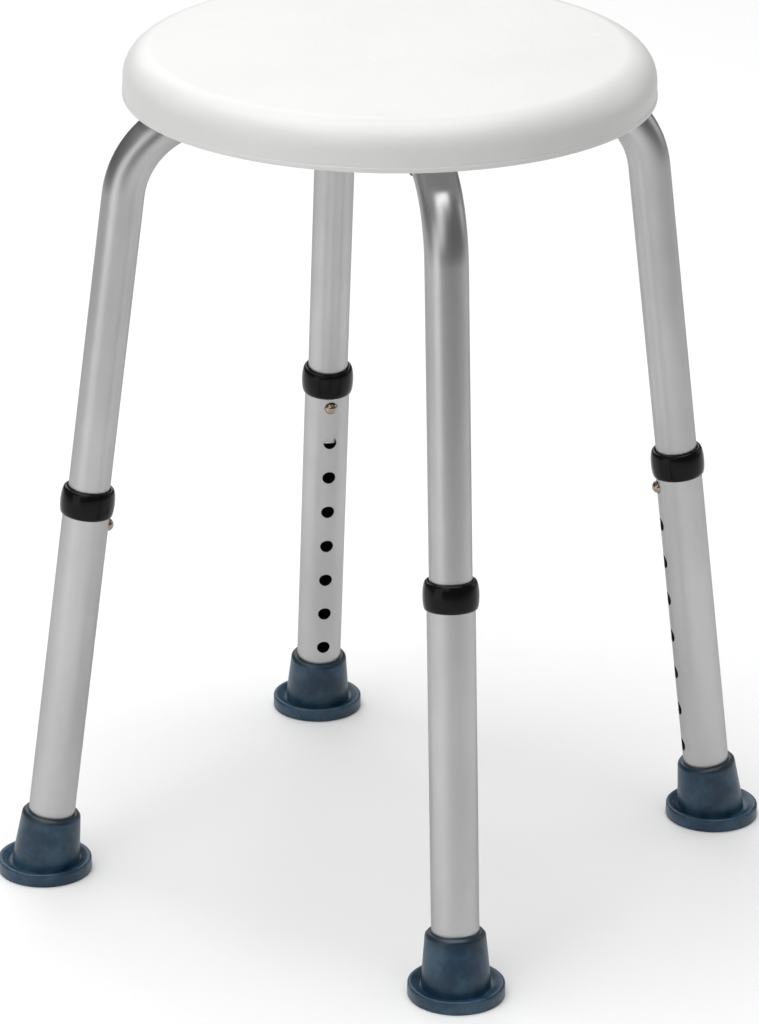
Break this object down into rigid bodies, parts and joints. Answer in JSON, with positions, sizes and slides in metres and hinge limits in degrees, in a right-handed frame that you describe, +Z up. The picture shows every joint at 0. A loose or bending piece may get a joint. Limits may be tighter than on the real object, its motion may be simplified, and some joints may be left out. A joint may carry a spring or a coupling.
{
  "type": "shower stool",
  "caption": "Round shower stool with a white plastic seat, splayed telescoping aluminium legs, snap buttons, collars and rubber feet.",
  "frame": {"origin": "on the floor, under the centre of the seat", "axes": "+Z up along the seat's axis; +X towards the right leg, +Y towards the back leg"},
  "size_m": [0.486, 0.486, 0.519],
  "materials": {
    "seat_plastic": "fine leather grain on the top, satin rim",
    "upper_tube": "satin anodised",
    "lower_tube": "satin anodised",
    "collar_gloss": "gloss",
    "black_plastic": "satin",
    "button_nickel": "nickel plated",
    "spring_steel": "blued spring steel",
    "fastener_steel": "zinc plated",
    "insert_brass": "turned",
    "foot_rubber": "moulded, slate blue"
  },
  "bodies": {
    "seat_frame": {"seat": "seat_plastic", "seat_bolts": "fastener_steel", "saddle_washers": "black_plastic", "threaded_inserts": "insert_brass", "upper_leg_right": "upper_tube", "upper_leg_back": "upper_tube", "upper_leg_left": "upper_tube", "upper_leg_front": "upper_tube", "end_plug_right": "black_plastic", "end_plug_back": "black_plastic", "end_plug_left": "black_plastic", "end_plug_front": "black_plastic", "clip_spring_right": "spring_steel", "clip_spring_back": "spring_steel", "clip_spring_left": "spring_steel", "clip_spring_front": "spring_steel"},
    "leg_right": {"lower_leg_right": "lower_tube", "collar_right": "collar_gloss", "foot_right": "foot_rubber", "foot_disc_right": "fastener_steel"},
    "button_right": {"snap_button_right": "button_nickel"},
    "leg_back": {"lower_leg_back": "lower_tube", "collar_back": "collar_gloss", "foot_back": "foot_rubber", "foot_disc_back": "fastener_steel"},
    "button_back": {"snap_button_back": "button_nickel"},
    "leg_left": {"lower_leg_left": "lower_tube", "collar_left": "collar_gloss", "foot_left": "foot_rubber", "foot_disc_left": "fastener_steel"},
    "button_left": {"snap_button_left": "button_nickel"},
    "leg_front": {"lower_leg_front": "lower_tube", "collar_front": "collar_gloss", "foot_front": "foot_rubber", "foot_disc_front": "fastener_steel"},
    "button_front": {"snap_button_front": "button_nickel"}
  },
  "joints": [
    {"name": "leg_slide_right", "type": "slide", "parent": "seat_frame", "child": "leg_right", "axis": [-0.1219, 0, 0.9925], "range_m": [0, 0.1778], "deforming": ["snap_button_right"]},
    {"name": "button_press_right", "type": "slide", "parent": "seat_frame", "child": "button_right", "axis": [0.9925, 0, 0.1219], "range_m": [0, 0.005], "stiffness_N_per_m": 2500, "springref_m": -0.001, "deforming": ["clip_spring_right"]},
    {"name": "leg_slide_back", "type": "slide", "parent": "seat_frame", "child": "leg_back", "axis": [0, -0.1219, 0.9925], "range_m": [0, 0.1778], "deforming": ["snap_button_back"]},
    {"name": "button_press_back", "type": "slide", "parent": "seat_frame", "child": "button_back", "axis": [0, 0.9925, 0.1219], "range_m": [0, 0.005], "stiffness_N_per_m": 2500, "springref_m": -0.001, "deforming": ["clip_spring_back"]},
    {"name": "leg_slide_left", "type": "slide", "parent": "seat_frame", "child": "leg_left", "axis": [0.1219, 0, 0.9925], "range_m": [0, 0.1778], "deforming": ["snap_button_left"]},
    {"name": "button_press_left", "type": "slide", "parent": "seat_frame", "child": "button_left", "axis": [-0.9925, 0, 0.1219], "range_m": [0, 0.005], "stiffness_N_per_m": 2500, "springref_m": -0.001, "deforming": ["clip_spring_left"]},
    {"name": "leg_slide_front", "type": "slide", "parent": "seat_frame", "child": "leg_front", "axis": [0, 0.1219, 0.9925], "range_m": [0, 0.1778], "deforming": ["snap_button_front"]},
    {"name": "button_press_front", "type": "slide", "parent": "seat_frame", "child": "button_front", "axis": [0, -0.9925, 0.1219], "range_m": [0, 0.005], "stiffness_N_per_m": 2500, "springref_m": -0.001, "deforming": ["clip_spring_front"]}
  ]
}
